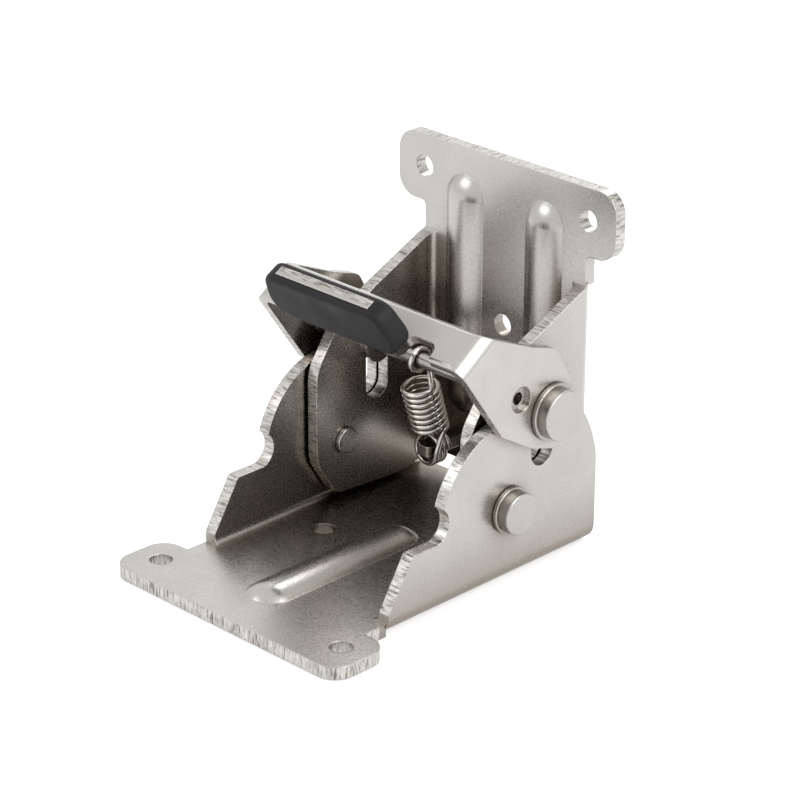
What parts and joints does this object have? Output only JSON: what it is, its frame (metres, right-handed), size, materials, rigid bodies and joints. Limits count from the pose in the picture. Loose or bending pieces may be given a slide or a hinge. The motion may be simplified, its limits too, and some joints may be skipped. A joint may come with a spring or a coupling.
{
  "type": "folding table leg bracket",
  "caption": "Folding leg bracket: two hinged sheet-metal channels with mounting plates, a spring-loaded release lever and a lock rod.",
  "frame": {"origin": "centre of the base bracket's mounting face, straight below the hinge axis", "axes": "+Z away from the table board, up along the leg plate; +X along the hinge axis; -Y towards the base bracket's wings"},
  "size_m": [0.06, 0.0762, 0.0708],
  "materials": {
    "nickel_sheet": "bright nickel plate over pressed sheet, satin with a slight grain",
    "nickel_rivet": "nickel plate on turned and headed pins, smooth",
    "spring_wire": "bright plated drawn wire",
    "black_grip": "soft matt moulded plastic"
  },
  "bodies": {
    "base": {"base_bracket": "nickel_sheet", "hinge_rivet_left": "nickel_rivet", "hinge_rivet_right": "nickel_rivet", "hinge_washer_left": "nickel_rivet", "hinge_washer_right": "nickel_rivet"},
    "leg": {"leg_bracket": "nickel_sheet", "lock_rod": "nickel_rivet", "rod_bush_left": "nickel_rivet", "rod_bush_right": "nickel_rivet", "rod_washer_left": "nickel_rivet", "rod_washer_right": "nickel_rivet", "lock_spring": "spring_wire"},
    "lever": {"lever_yoke": "nickel_sheet", "lever_grip": "black_grip"}
  },
  "joints": [
    {"name": "leg_fold", "type": "hinge", "parent": "base", "child": "leg", "pos_m": [0, 0, 0.015], "axis": [1, 0, 0], "range_deg": [0, 90]},
    {"name": "lever_swing", "type": "hinge", "parent": "leg", "child": "lever", "pos_m": [0, 0.0086, 0.0328], "axis": [1, 0, 0], "range_deg": [-27, 0]}
  ],
  "couplings": [
    {"joint": "lever_swing", "follows": "leg_fold", "ratio": -0.3}
  ]
}
